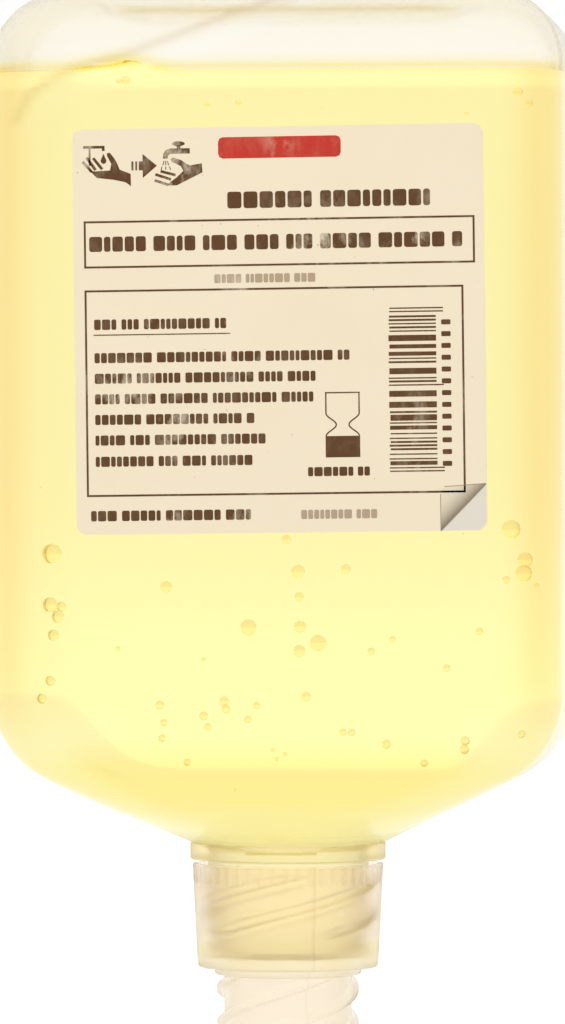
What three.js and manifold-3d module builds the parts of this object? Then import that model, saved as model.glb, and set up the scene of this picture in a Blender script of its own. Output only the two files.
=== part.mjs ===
// Hand soap refill pack: a translucent blow-moulded bottle that hangs neck down in a wall dispenser.
// Millimetres, +Z up. The origin is the centre of the spigot's mouth, the front panel faces -Y,
// and the bottle's base is the top of the part.
import * as THREE from "three";
import { mergeVertices } from "three/addons/utils/BufferGeometryUtils.js";
import Module from "manifold-3d";

const wasm = await Module();
wasm.setup();

// Bottle body
const BODY_WIDTH = 87.2;
const BODY_DEPTH = 56.5;
const BODY_HEIGHT = 130.2; // from the top of the neck bead to the base
const CORNER_RADIUS = 11; // upright corners, seen from above
const BASE_EDGE_RADIUS = 11.5;
const WALL = 1;
const BASE_RING_WIDTH = 3; // flat ring that the bottle stands on when it is turned neck up
const PUSH_UP_SLOPE_WIDTH = 4;
const PUSH_UP_DEPTH = 2;

// Shoulder: a straight slope down to the neck, with its own angle across the width and the depth
const SIDE_SLOPE_DEG = 25.9;
const SIDE_BEND_RADIUS = 15;
const FRONT_SLOPE_DEG = 26.5;
const FRONT_BEND_RADIUS = 8;

// Neck
const LIP_DIAMETER = 23.4;
const NECK_TAPER = 0.7; // growth of the neck's radius from the lip to the bead
const NECK_WALL = 1.5;
const LIP_ROUND = 0.4;
const BEAD_HEIGHT = 2.7;
const BEAD_OVERHANG = 0.35; // how far the bead stands out past the cap's rim
const BEAD_LEDGE = 0.15; // step from the shoulder out to the bead

// Thread between the neck and the cap, and the one on the spigot: right-hand, with the same starts and lead
const THREAD_STARTS = 4;
const THREAD_LEAD = 21.4;
const THREAD_BASE_WIDTH = 1.8;
const THREAD_CREST_WIDTH = 0.8;
const NECK_THREAD_HEIGHT = 0.85;
const THREAD_ROOT_CLEARANCE = 0.45; // from a crest to the wall that it faces
const FLANK_CLEARANCE = 0.3; // along the axis, between the ridge of the cap and the ridge that carries it
const THREAD_LIP_MARGIN = 1.4; // plain neck left at the lip
const THREAD_BEAD_MARGIN = 3; // plain neck left at the bead

// Cap with its spigot
const CAP_HEIGHT = 16;
const CAP_WALL = 0.88;
const CAP_TAPER = 0.8; // growth of the cap's radius from the deck to the rim
const CAP_EDGE_RADIUS = 0.6;
const DECK_THICKNESS = 1.6;
const RIM_GAP = 0.6; // open gap between the cap's rim and the bead
const GRIP_RIBS = 48;
const GRIP_HEIGHT = 3.1;
const GRIP_DEPTH = 0.35;
const GRIP_RIM_MARGIN = 0.25;
const SPIGOT_LENGTH = 14;
const SPIGOT_DIAMETER = 19.6;
const SPIGOT_WALL = 1.4;
const SPIGOT_CHAMFER = 0.6; // at the outer edge of the mouth
const SPIGOT_THREAD_HEIGHT = 1.1;
const SPIGOT_CREST_DROP = 0.35; // its crests lie nearer the mouth, so that the lower flanks are steep
const SPIGOT_LEAD_IN = 2.6; // plain stretch at the mouth
const COLLAR_HEIGHT = 0.8; // step at the foot of the spigot, as wide as its thread
const COLLAR_MARGIN = 0.4;

// Sealing disc, soap and label
const DISC_THICKNESS = 1;
const DISC_CLEARANCE = 0.1; // to the deck below it and the lip above it
const DISC_EDGE_CLEARANCE = 0.4;
const SOAP_CLEARANCE = 0.3;
const ULLAGE = 13; // height of the air space under the base
const LABEL_WIDTH = 62;
const LABEL_HEIGHT = 61;
const LABEL_CORNER_RADIUS = 1.6;
const LABEL_THICKNESS = 0.15;
const LABEL_BELOW_BASE = 21.6;
const LABEL_OFFSET = 1.65; // stuck a little to the right of the panel's middle
const LABEL_TILT_DEG = 0.7; // stuck a little crooked, right side up

// Facets
const ROUND_SEGMENTS = 48;
const CORNER_SEGMENTS = 8;
const BEND_STEPS = 3;
const BASE_EDGE_STEPS = 4;
const RIDGE_FADE_STEPS = 2; // steps over which a thread ridge rises at each end
const RIDGE_END_RISE = 0.25; // part of its height that a ridge has at its very ends
const RIDGE_ROOT = 0.3; // how deep a ridge is rooted in its wall
const MIN_FLAT = 0.02; // keeps the four straight sides of a section where it is round
const CLOSE_RINGS = 0.2; // rings nearer to each other than this become one

// Heights that follow from the sizes above, going up from the spigot's mouth
const deckBottom = SPIGOT_LENGTH;
const deckTop = deckBottom + DECK_THICKNESS;
const rimTop = deckBottom + CAP_HEIGHT;
const discBottom = deckTop + DISC_CLEARANCE;
const lip = discBottom + DISC_THICKNESS + DISC_CLEARANCE;
const beadBottom = rimTop + RIM_GAP;
const beadTop = beadBottom + BEAD_HEIGHT;
const baseTop = beadTop + BODY_HEIGHT;
const fillLevel = baseTop - ULLAGE;

// Radii that follow from them
const lipRadius = LIP_DIAMETER / 2;
const boreRadius = lipRadius - NECK_WALL;
const threadSpace = NECK_THREAD_HEIGHT + THREAD_ROOT_CLEARANCE;
const deckInnerRadius = lipRadius + threadSpace;
const deckRadius = deckInnerRadius + CAP_WALL;
const rimRadius = deckRadius + CAP_TAPER;
const beadRadius = rimRadius + BEAD_OVERHANG;
const shoulderFoot = beadRadius - BEAD_LEDGE;
const spigotRadius = SPIGOT_DIAMETER / 2;
const spigotBore = spigotRadius - SPIGOT_WALL;
const collarRadius = spigotRadius + SPIGOT_THREAD_HEIGHT + COLLAR_MARGIN;

const neckRadiusAt = (z) => THREE.MathUtils.mapLinear(z, lip, beadBottom, lipRadius, lipRadius + NECK_TAPER);
const capOuterAt = (z) => THREE.MathUtils.mapLinear(z, deckBottom, rimTop, deckRadius, rimRadius);
const capInnerAt = (z) => capOuterAt(z) - CAP_WALL;

// A closed solid of a geometry, ready to be joined or cut.
function solidOf(geometry) {
  const bare = new THREE.BufferGeometry();
  bare.setAttribute("position", geometry.getAttribute("position"));
  bare.setIndex(geometry.index);
  const merged = mergeVertices(bare);
  return new wasm.Manifold(
    new wasm.Mesh({
      numProp: 3,
      vertProperties: merged.getAttribute("position").array,
      triVerts: new Uint32Array(merged.index.array),
    }),
  );
}

function geometryOf(solid) {
  const { vertProperties, triVerts } = solid.getMesh();
  const geometry = new THREE.BufferGeometry();
  geometry.setAttribute("position", new THREE.BufferAttribute(vertProperties, 3));
  geometry.setIndex(new THREE.BufferAttribute(triVerts, 1));
  geometry.computeVertexNormals();
  return geometry;
}

// A skin through rings of equally many points, given from the bottom up and counter-clockwise seen from
// above, closed by a fan at each end.
function loft(rings) {
  const count = rings[0].length;
  const ends = [rings[0], rings.at(-1)].map((ring) =>
    ring.reduce((sum, p) => sum.add(p), new THREE.Vector3()).divideScalar(count),
  );
  const points = [...rings.flat(), ...ends];
  const [bottom, top] = [points.length - 2, points.length - 1];
  const lastRing = (rings.length - 1) * count;
  const faces = [];
  for (let i = 0; i < count; i++) {
    const j = (i + 1) % count;
    for (let base = 0; base < lastRing; base += count) {
      faces.push(base + i, base + j, base + count + j, base + i, base + count + j, base + count + i);
    }
    faces.push(bottom, j, i, top, lastRing + i, lastRing + j);
  }
  return new THREE.BufferGeometry().setFromPoints(points).setIndex(faces);
}

// A solid turned about Z from a profile of [radius, height] pairs.
function turned(profile) {
  const points = profile.map(([radius, height]) => new THREE.Vector2(radius, height));
  return solidOf(new THREE.LatheGeometry(points, ROUND_SEGMENTS).rotateX(Math.PI / 2));
}

// A level ring at height z: a rectangle with round corners.
function roundedRing(halfWidth, halfDepth, radius, z) {
  const corners = [
    [1, 1],
    [-1, 1],
    [-1, -1],
    [1, -1],
  ];
  return corners.flatMap(([sideX, sideY], quarter) =>
    Array.from({ length: CORNER_SEGMENTS + 1 }, (_, i) => {
      const angle = ((quarter + i / CORNER_SEGMENTS) * Math.PI) / 2;
      return new THREE.Vector3(
        sideX * (halfWidth - radius) + radius * Math.cos(angle),
        sideY * (halfDepth - radius) + radius * Math.sin(angle),
        z,
      );
    }),
  );
}

// One upright section of the body, from the foot of the shoulder up to the base edge: a straight slope, a bend
// and an upright wall. It gives the half size at a height, for a skin that lies inset from the outside.
function wallSection(halfSize, slopeDeg, bendRadius) {
  const slope = THREE.MathUtils.degToRad(slopeDeg);
  const cornerHeight = beadTop + (halfSize - shoulderFoot) * Math.tan(slope);
  const bendTop = cornerHeight + bendRadius * Math.tan((Math.PI / 2 - slope) / 2);
  const bendBottom = (inset) => bendTop - (bendRadius - inset) * Math.cos(slope);
  const halfAt = (z, inset) => {
    const bend = bendRadius - inset;
    const centre = halfSize - bendRadius;
    const edge = BASE_EDGE_RADIUS - inset;
    const edgeHeight = z - (baseTop - BASE_EDGE_RADIUS);
    if (edgeHeight > 0) {
      return halfSize - BASE_EDGE_RADIUS + Math.sqrt(Math.max(0, edge ** 2 - edgeHeight ** 2));
    }
    if (z >= bendTop) {
      return halfSize - inset;
    }
    if (z >= bendBottom(inset)) {
      return centre + Math.sqrt(bend ** 2 - (bendTop - z) ** 2);
    }
    return centre + bend * Math.sin(slope) + (z - bendBottom(inset)) / Math.tan(slope);
  };
  const footHeight = (inset, footRadius) =>
    bendBottom(inset) - (halfAt(bendBottom(inset), inset) - footRadius) * Math.tan(slope);
  return { halfAt, bendTop, bendBottom, footHeight };
}

const sides = wallSection(BODY_WIDTH / 2, SIDE_SLOPE_DEG, SIDE_BEND_RADIUS);
const frontAndBack = wallSection(BODY_DEPTH / 2, FRONT_SLOPE_DEG, FRONT_BEND_RADIUS);

// The upright corners widen down the shoulder until the section is round at the neck.
function cornerRadiusAt(z, inset, footRadius, halfWidth, halfDepth) {
  const roundness = THREE.MathUtils.smoothstep(sides.bendTop - z, 0, sides.bendTop - beadTop);
  const edgeTurn = z > sides.bendTop ? BODY_WIDTH / 2 - inset - halfWidth : 0;
  const upper = CORNER_RADIUS - inset - edgeTurn / 2;
  const wanted = THREE.MathUtils.lerp(upper, footRadius, roundness);
  return Math.min(wanted, halfWidth - MIN_FLAT, halfDepth - MIN_FLAT);
}

function bodyRing(z, inset, footRadius) {
  const halfWidth = Math.max(footRadius, sides.halfAt(z, inset));
  const halfDepth = Math.max(footRadius, frontAndBack.halfAt(z, inset));
  return roundedRing(halfWidth, halfDepth, cornerRadiusAt(z, inset, footRadius, halfWidth, halfDepth), z);
}

// The heights at which a skin of that inset gets a ring: the ends of its slopes and steps round its bends.
function ringHeights(inset, footRadius, topHeight) {
  const heights = [];
  for (const section of [sides, frontAndBack]) {
    heights.push(section.footHeight(inset, footRadius));
    for (let i = 0; i <= BEND_STEPS; i++) {
      heights.push(THREE.MathUtils.lerp(section.bendBottom(inset), section.bendTop, i / BEND_STEPS));
    }
  }
  const edge = BASE_EDGE_RADIUS - inset;
  for (let i = 0; i <= BASE_EDGE_STEPS; i++) {
    heights.push(baseTop - BASE_EDGE_RADIUS + edge * Math.sin((i / BASE_EDGE_STEPS) * (Math.PI / 2)));
  }
  const inOrder = heights.filter((z) => z < topHeight - CLOSE_RINGS).sort((a, b) => a - b);
  return [...inOrder.filter((z, i) => i === 0 || z - inOrder[i - 1] > CLOSE_RINGS), topHeight];
}

// The base: a flat ring to stand on, then a shallow push-up inside it.
function baseRings(inset) {
  const top = baseTop - inset;
  return [
    [BASE_EDGE_RADIUS + BASE_RING_WIDTH, top],
    [BASE_EDGE_RADIUS + BASE_RING_WIDTH + PUSH_UP_SLOPE_WIDTH, top - PUSH_UP_DEPTH],
  ].map(([margin, z]) => {
    const halfWidth = BODY_WIDTH / 2 - margin;
    const halfDepth = BODY_DEPTH / 2 - margin;
    return roundedRing(halfWidth, halfDepth, Math.min(CORNER_RADIUS, halfDepth) / 2, z);
  });
}

// The whole skin at an inset, from the foot of its shoulder to the middle of the base.
function bodySkin(inset, footRadius) {
  const rings = ringHeights(inset, footRadius, baseTop - inset).map((z) => bodyRing(z, inset, footRadius));
  return solidOf(loft([...rings, ...baseRings(inset)]));
}

// Thread ridges round Z that follow a wall of the given radius. They stand out of the wall, or into the bore
// where the height is negative, and rise from nothing at both ends.
function threadRidges({ wallRadiusAt, height, from, to, shift = 0, crestDrop = 0 }) {
  const steps = Math.round(((to - from) / THREAD_LEAD) * ROUND_SEGMENTS);
  const root = Math.sign(height) * RIDGE_ROOT;
  const ridges = [];
  for (let start = 0; start < THREAD_STARTS; start++) {
    const sections = [];
    for (let i = 0; i <= steps; i++) {
      const z = THREE.MathUtils.lerp(from, to, i / steps);
      const angle = ((z - shift) / THREAD_LEAD + start / THREAD_STARTS) * Math.PI * 2;
      const rise = Math.min(1, RIDGE_END_RISE + Math.min(i, steps - i) / RIDGE_FADE_STEPS);
      const wall = wallRadiusAt(z);
      const crest = wall + height * rise;
      const outline = [
        [wall - root, -THREAD_BASE_WIDTH / 2],
        [crest, -THREAD_CREST_WIDTH / 2 - crestDrop],
        [crest, THREAD_CREST_WIDTH / 2 - crestDrop],
        [wall - root, THREAD_BASE_WIDTH / 2],
      ].map(([r, dz]) => new THREE.Vector3(r * Math.cos(angle), r * Math.sin(angle), z + dz));
      sections.push(height > 0 ? outline.reverse() : outline);
    }
    ridges.push(solidOf(loft(sections)));
  }
  return ridges.reduce((joined, ridge) => joined.add(ridge));
}

const neckThread = {
  wallRadiusAt: neckRadiusAt,
  height: NECK_THREAD_HEIGHT,
  from: lip + THREAD_LIP_MARGIN,
  to: beadBottom - THREAD_BEAD_MARGIN,
};

// Blow-moulded shell with its bead and threaded neck, open at the lip
function makeBottle() {
  const neck = turned([
    [0, lip],
    [lipRadius - LIP_ROUND, lip],
    [lipRadius, lip + LIP_ROUND],
    [neckRadiusAt(beadBottom), beadBottom],
    [beadRadius - BEAD_LEDGE, beadBottom],
    [beadRadius, beadBottom + BEAD_LEDGE],
    [beadRadius, beadTop],
    [0, beadTop],
  ]);
  const bore = turned([
    [0, lip - NECK_WALL],
    [boreRadius, lip - NECK_WALL],
    [boreRadius, beadTop],
    [0, beadTop],
  ]);
  return bodySkin(0, shoulderFoot)
    .add(neck)
    .add(threadRidges(neckThread))
    .subtract(bodySkin(WALL, boreRadius))
    .subtract(bore);
}

// Liquid that fills the shell from the sealing disc up to the fill level
function makeSoap() {
  const inset = WALL + SOAP_CLEARANCE;
  const footRadius = boreRadius - SOAP_CLEARANCE;
  const heights = ringHeights(inset, footRadius, fillLevel);
  const foot = heights[0];
  const column = turned([
    [0, lip - DISC_CLEARANCE + SOAP_CLEARANCE],
    [footRadius, lip - DISC_CLEARANCE + SOAP_CLEARANCE],
    [footRadius, foot + SOAP_CLEARANCE],
    [0, foot + SOAP_CLEARANCE],
  ]);
  return solidOf(loft(heights.map((z) => bodyRing(z, inset, footRadius)))).add(column);
}

// Flat paper label with round corners, its back on the front panel
function makeLabel() {
  const [x, y, r] = [LABEL_WIDTH / 2, LABEL_HEIGHT / 2, LABEL_CORNER_RADIUS];
  const outline = new THREE.Shape()
    .absarc(x - r, y - r, r, 0, Math.PI / 2)
    .absarc(r - x, y - r, r, Math.PI / 2, Math.PI)
    .absarc(r - x, r - y, r, Math.PI, Math.PI * 1.5)
    .absarc(x - r, r - y, r, Math.PI * 1.5, Math.PI * 2);
  return new THREE.ExtrudeGeometry(outline, {
    depth: LABEL_THICKNESS,
    bevelEnabled: false,
    curveSegments: CORNER_SEGMENTS / 2,
  }).rotateX(Math.PI / 2);
}

// Disc between the lip and the deck
function makeSealingDisc() {
  const radius = deckInnerRadius - DISC_EDGE_CLEARANCE;
  return turned([
    [0, discBottom],
    [radius, discBottom],
    [radius, discBottom + DISC_THICKNESS],
    [0, discBottom + DISC_THICKNESS],
  ]);
}

// Tool that cuts the grip: a ring whose inside is a star, with a groove between each two ribs
function gripCutter() {
  const star = [];
  for (let i = 0; i < GRIP_RIBS * 2; i++) {
    const radius = i % 2 ? rimRadius - GRIP_DEPTH : rimRadius + GRIP_DEPTH;
    const angle = (i / GRIP_RIBS) * Math.PI;
    star.push(new THREE.Vector2(radius * Math.cos(angle), radius * Math.sin(angle)));
  }
  const ring = new THREE.Shape().absarc(0, 0, rimRadius + CAP_WALL + GRIP_DEPTH, 0, Math.PI * 2);
  ring.holes.push(new THREE.Path(star));
  const geometry = new THREE.ExtrudeGeometry(ring, {
    depth: GRIP_HEIGHT,
    bevelEnabled: false,
    curveSegments: ROUND_SEGMENTS / 2,
  });
  return solidOf(geometry.translate(0, 0, rimTop - GRIP_RIM_MARGIN - GRIP_HEIGHT));
}

// Skirt, deck and spigot in one moulding, with a thread inside the skirt and another round the spigot
function makeCap() {
  const body = turned([
    [spigotBore, 0],
    [spigotRadius - SPIGOT_CHAMFER, 0],
    [spigotRadius, SPIGOT_CHAMFER],
    [spigotRadius, deckBottom - COLLAR_HEIGHT - COLLAR_MARGIN],
    [collarRadius, deckBottom - COLLAR_HEIGHT],
    [collarRadius, deckBottom],
    [deckRadius - CAP_EDGE_RADIUS, deckBottom],
    [deckRadius, deckBottom + CAP_EDGE_RADIUS],
    [rimRadius, rimTop],
    [capInnerAt(rimTop), rimTop],
    [capInnerAt(deckTop), deckTop],
    [spigotBore, deckTop],
    [spigotBore, 0],
  ]);
  // The cap's ridges hang on the neck's: each lies above one of those, flank to flank.
  const flankShift = (THREAD_BASE_WIDTH - THREAD_CREST_WIDTH) * (1 - threadSpace / (2 * NECK_THREAD_HEIGHT));
  const hang = THREAD_CREST_WIDTH + flankShift + FLANK_CLEARANCE;
  const innerThread = threadRidges({
    wallRadiusAt: capInnerAt,
    height: -NECK_THREAD_HEIGHT,
    from: neckThread.from + hang,
    to: neckThread.to + hang,
    shift: hang,
  });
  const spigotThread = threadRidges({
    wallRadiusAt: () => spigotRadius,
    height: SPIGOT_THREAD_HEIGHT,
    from: SPIGOT_LEAD_IN,
    to: deckBottom - COLLAR_HEIGHT - THREAD_BASE_WIDTH / 2,
    crestDrop: SPIGOT_CREST_DROP,
  });
  return body.add(innerThread).add(spigotThread).subtract(gripCutter());
}

function piece(name, shape, material) {
  const geometry = shape.isBufferGeometry ? shape : geometryOf(shape);
  const mesh = new THREE.Mesh(geometry, new THREE.MeshStandardMaterial({ metalness: 0, ...material }));
  mesh.name = name;
  return mesh;
}

const label = piece("label", makeLabel(), { color: 0xeee1c6, roughness: 0.6 });
label.position.set(LABEL_OFFSET, -BODY_DEPTH / 2, baseTop - LABEL_BELOW_BASE - LABEL_HEIGHT / 2);
label.rotation.y = THREE.MathUtils.degToRad(-LABEL_TILT_DEG);

const filledBottle = new THREE.Group().add(
  piece("bottle", makeBottle(), { color: 0xfff9e5, roughness: 0.35, transparent: true, opacity: 0.4 }),
  piece("soap", makeSoap(), { color: 0xfff9ad, roughness: 0.15, transparent: true, opacity: 0.8 }),
  label,
);
const closure = new THREE.Group().add(
  piece("sealing_disc", makeSealingDisc(), { color: 0xf4ead2, roughness: 0.5 }),
  piece("cap", makeCap(), { color: 0xf2dfaf, roughness: 0.45, transparent: true, opacity: 0.8 }),
);

export default new THREE.Group().add(filledBottle, closure);
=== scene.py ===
import math
import random

import bpy
import numpy as np
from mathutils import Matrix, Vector


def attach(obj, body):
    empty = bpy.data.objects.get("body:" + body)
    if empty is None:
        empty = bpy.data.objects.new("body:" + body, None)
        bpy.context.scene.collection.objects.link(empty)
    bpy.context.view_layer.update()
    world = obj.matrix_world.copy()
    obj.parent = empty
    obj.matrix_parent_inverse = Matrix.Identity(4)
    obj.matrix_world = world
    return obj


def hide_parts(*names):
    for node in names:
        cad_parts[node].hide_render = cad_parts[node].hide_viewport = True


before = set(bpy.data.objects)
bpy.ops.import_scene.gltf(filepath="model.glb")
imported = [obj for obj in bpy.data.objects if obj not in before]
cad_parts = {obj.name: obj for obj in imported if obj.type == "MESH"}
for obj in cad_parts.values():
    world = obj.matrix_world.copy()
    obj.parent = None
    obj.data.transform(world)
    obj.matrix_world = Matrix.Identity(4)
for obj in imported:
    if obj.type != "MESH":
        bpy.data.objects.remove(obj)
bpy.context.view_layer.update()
mm = 0.001
pi = math.pi
mergeDistance = 0.002 * mm


# general modelling helpers

def deselectAll():
    if bpy.context.object and bpy.context.object.mode != 'OBJECT':
        bpy.ops.object.mode_set(mode='OBJECT')
    bpy.ops.object.select_all(action='DESELECT')


def makeActive(piece):
    deselectAll()
    piece.select_set(True)
    bpy.context.view_layer.objects.active = piece


def editAll(piece):
    makeActive(piece)
    bpy.ops.object.mode_set(mode='EDIT')
    bpy.ops.mesh.select_all(action='SELECT')


def cleanUp(piece, smoothAngle=40):
    editAll(piece)
    bpy.ops.mesh.remove_doubles(threshold=mergeDistance)
    bpy.ops.mesh.normals_make_consistent(inside=False)
    bpy.ops.object.mode_set(mode='OBJECT')
    bpy.ops.object.shade_smooth_by_angle(angle=math.radians(smoothAngle))


def applyAll(piece):
    makeActive(piece)
    for modifier in list(piece.modifiers):
        bpy.ops.object.modifier_apply(modifier=modifier.name)


def setMaterial(piece, material):
    piece.data.materials.clear()
    piece.data.materials.append(material)


def addAttribute(piece, name, values):
    layer = piece.data.attributes.new(name, 'FLOAT', 'POINT')
    layer.data.foreach_set("value", np.asarray(values, dtype=np.float32))


def readPoints(piece):
    flat = np.empty(len(piece.data.vertices) * 3)
    piece.data.vertices.foreach_get("co", flat)
    return flat.reshape(-1, 3)


def putPoints(piece, points):
    piece.data.vertices.foreach_set("co", points.ravel())
    piece.data.update()


def rollGrid(name, rings, smoothAngle=40):
    # a flat grid is added, then its rows are rolled up into rings (mm) and the seam is merged
    rings = np.asarray(rings, dtype=float)
    rows, around = rings.shape[:2]
    deselectAll()
    bpy.ops.mesh.primitive_grid_add(x_subdivisions=around, y_subdivisions=rows - 1, size=1)
    piece = bpy.context.object
    piece.name = piece.data.name = name
    flat = readPoints(piece).round(6)
    order = np.lexsort((flat[:, 0], flat[:, 1]))
    rolled = np.concatenate([rings, rings[:, :1]], axis=1).reshape(-1, 3)
    placed = np.empty_like(flat)
    placed[order] = rolled * mm
    putPoints(piece, placed)
    cleanUp(piece, smoothAngle)
    return piece


def smoothStep(x, low, high):
    t = np.clip((x - low) / (high - low), 0, 1)
    return t * t * (3 - 2 * t)


def fallStep(x, low, high):
    # 1 up to low, 0 from high on
    return smoothStep(-x, -high, -low)


def steps(low, high, size):
    count = max(1, int(round(abs(high - low) / size)))
    return list(np.linspace(low, high, count + 1))


def filletArc(cx, cz, radius, fromDeg, toDeg, count):
    return [(cx + radius * math.cos(math.radians(a)), cz + radius * math.sin(math.radians(a)))
            for a in np.linspace(fromDeg, toDeg, count + 1)]


def ringAt(rho, angle, z):
    # the points of one ring, from its radius along each direction
    return np.stack([rho * np.cos(angle), rho * np.sin(angle), np.full_like(angle, z)], axis=1)


def ridgeHeight(angle, z, thread, shift=0.0):
    # 0 to 1 across a helical ridge, fading out over 1 mm at both ends of the run
    pitch = thread['lead'] / thread['starts']
    offset = z - shift - thread['lead'] * angle / (2 * pi) + thread['drop']
    offset = (offset + pitch / 2) % pitch - pitch / 2
    flank = (thread['base'] - thread['crest']) / 2
    steeper = thread['drop'] * thread['steepShare']
    lower = np.clip((thread['base'] / 2 - steeper + offset) / (flank - steeper), 0, 1)
    upper = np.clip((thread['base'] / 2 + thread['drop'] - offset) / (flank + thread['drop']), 0, 1)
    fade = np.clip(z - thread['from'], 0, 1) * np.clip(thread['to'] - z, 0, 1)
    return np.where(offset < 0, lower, upper) * fade


# material helpers

noiseSpread = (0.3, 0.7)     # between these lies nearly all of a noise


def startMaterial(name):
    material = bpy.data.materials.new(name)
    material.use_nodes = True
    tree = material.node_tree
    return material, tree, tree.nodes['Principled BSDF']


def addNode(tree, kind, inputs=None, **settings):
    node = tree.nodes.new(kind)
    for key, value in settings.items():
        setattr(node, key, value)
    for key, value in (inputs or {}).items():
        node.inputs[key].default_value = value
    return node


def objectSpot(tree, scale=(1, 1, 1)):
    coords = addNode(tree, 'ShaderNodeTexCoord')
    mapping = addNode(tree, 'ShaderNodeMapping', {'Scale': scale})
    tree.links.new(coords.outputs['Object'], mapping.inputs['Vector'])
    return mapping.outputs['Vector']


def noiseAt(tree, vector, scale, detail=3.0, roughness=0.55):
    noise = addNode(tree, 'ShaderNodeTexNoise', {'Scale': scale, 'Detail': detail, 'Roughness': roughness})
    tree.links.new(vector, noise.inputs['Vector'])
    return noise.outputs['Fac']


def rangeOf(tree, value, fromMin, fromMax, toMin, toMax):
    limits = {'From Min': fromMin, 'From Max': fromMax, 'To Min': toMin, 'To Max': toMax}
    node = addNode(tree, 'ShaderNodeMapRange', limits)
    tree.links.new(value, node.inputs['Value'])
    return node.outputs['Result']


def speckMask(tree, vector, scale, size, core=0.6, strength=0.8):
    # a few tiny round spots, as of dirt
    cells = addNode(tree, 'ShaderNodeTexVoronoi', {'Scale': scale})
    tree.links.new(vector, cells.inputs['Vector'])
    return rangeOf(tree, cells.outputs['Distance'], size, size * core, 0, strength)


def mixColour(tree, factor, first, second, blend='MIX'):
    node = addNode(tree, 'ShaderNodeMix', data_type='RGBA', blend_type=blend)
    for socket, value in ((node.inputs[0], factor), (node.inputs[6], first), (node.inputs[7], second)):
        if isinstance(value, bpy.types.NodeSocket):
            tree.links.new(value, socket)
        elif isinstance(value, float):
            socket.default_value = value
        else:
            socket.default_value = (*value, 1)
    return node.outputs[2]


def attributeOf(tree, name):
    return addNode(tree, 'ShaderNodeAttribute', attribute_name=name).outputs['Fac']


def addUp(tree, first, second):
    node = addNode(tree, 'ShaderNodeMath', operation='ADD')
    tree.links.new(first, node.inputs[0])
    tree.links.new(second, node.inputs[1])
    return node.outputs[0]


def bumpFrom(tree, bsdf, height, strength, distance):
    # distance in m
    bump = addNode(tree, 'ShaderNodeBump', {'Strength': strength, 'Distance': distance})
    tree.links.new(height, bump.inputs['Height'])
    tree.links.new(bump.outputs['Normal'], bsdf.inputs['Normal'])


def addAbsorption(tree, colour, density):
    volume = addNode(tree, 'ShaderNodeVolumeAbsorption', {'Color': (*colour, 1), 'Density': density})
    tree.links.new(volume.outputs['Volume'], tree.nodes['Material Output'].inputs['Volume'])


# stage: camera, light, floor

stage = {
    'azimuth': 6.0,          # degrees round to the bottle's right
    'distance': 1130.0,      # mm
    'height': 84.0,
    'lens': 258.0,
    'shiftX': -0.0054,
    'ambient': (1, 0.985, 0.96), 'ambientLevel': 0.88,   # what diffuse surfaces get from the room
    'lamps': {               # place in m, size in m, power in W
        'keySoftbox': ((-0.55, -0.8, 0.55), 0.7, 3.6),
        'fillSoftbox': ((0.75, -0.65, 0.12), 0.6, 2.0),
    },
    'aim': (0, 0, 0.08), 'sensor': 36.0, 'nearest': 0.01, 'farthest': 50.0,
    'floorSize': 14.0, 'floorLevel': -10.5,   # clear of the cap when it is unscrewed
    'floorColour': (0.55, 0.55, 0.55), 'floorGlow': 0.6, 'floorRoughness': 0.8,
    'lightBounces': 24,      # clear walls inside each other need long light paths
}


def seenDirectly(tree):
    # 1 for camera, mirror and see-through rays, 0 for the light that falls on things
    path = addNode(tree, 'ShaderNodeLightPath')
    some = addNode(tree, 'ShaderNodeMath', operation='ADD')
    every = addNode(tree, 'ShaderNodeMath', operation='ADD', use_clamp=True)
    tree.links.new(path.outputs['Is Camera Ray'], some.inputs[0])
    tree.links.new(path.outputs['Is Glossy Ray'], some.inputs[1])
    tree.links.new(some.outputs[0], every.inputs[0])
    tree.links.new(path.outputs['Is Transmission Ray'], every.inputs[1])
    return every.outputs[0]


def makeCamera(scene):
    turn = math.radians(stage['azimuth'])
    away = stage['distance'] * mm
    deselectAll()
    place = (away * math.sin(turn), -away * math.cos(turn), stage['height'] * mm)
    bpy.ops.object.camera_add(location=place, rotation=(pi / 2, 0, turn))
    camera = bpy.context.object
    camera.name = 'photoCamera'
    camera.data.lens = stage['lens']
    camera.data.sensor_width = stage['sensor']
    camera.data.shift_x = stage['shiftX']
    camera.data.clip_start = stage['nearest']
    camera.data.clip_end = stage['farthest']
    scene.camera = camera


def makeWorld(scene):
    world = bpy.data.worlds.new('whiteRoom')
    scene.world = world
    world.use_nodes = True
    tree = world.node_tree
    tree.nodes.clear()
    output = addNode(tree, 'ShaderNodeOutputWorld')
    room = {'Color': (*stage['ambient'], 1), 'Strength': stage['ambientLevel']}
    lit = addNode(tree, 'ShaderNodeBackground', room)
    white = addNode(tree, 'ShaderNodeBackground', {'Color': (1, 1, 1, 1), 'Strength': 1.0})
    mix = addNode(tree, 'ShaderNodeMixShader')
    tree.links.new(seenDirectly(tree), mix.inputs[0])
    tree.links.new(lit.outputs[0], mix.inputs[1])
    tree.links.new(white.outputs[0], mix.inputs[2])
    tree.links.new(mix.outputs[0], output.inputs['Surface'])


def makeLamps():
    for name, (place, size, power) in stage['lamps'].items():
        bpy.ops.object.light_add(type='AREA', location=place)
        lamp = bpy.context.object
        lamp.name = name
        lamp.data.size = size
        lamp.data.energy = power
        # the clear plastic sees the white room only
        lamp.visible_camera = lamp.visible_glossy = lamp.visible_transmission = False
        lamp.rotation_euler = (Vector(stage['aim']) - Vector(place)).to_track_quat('-Z', 'Y').to_euler()


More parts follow.
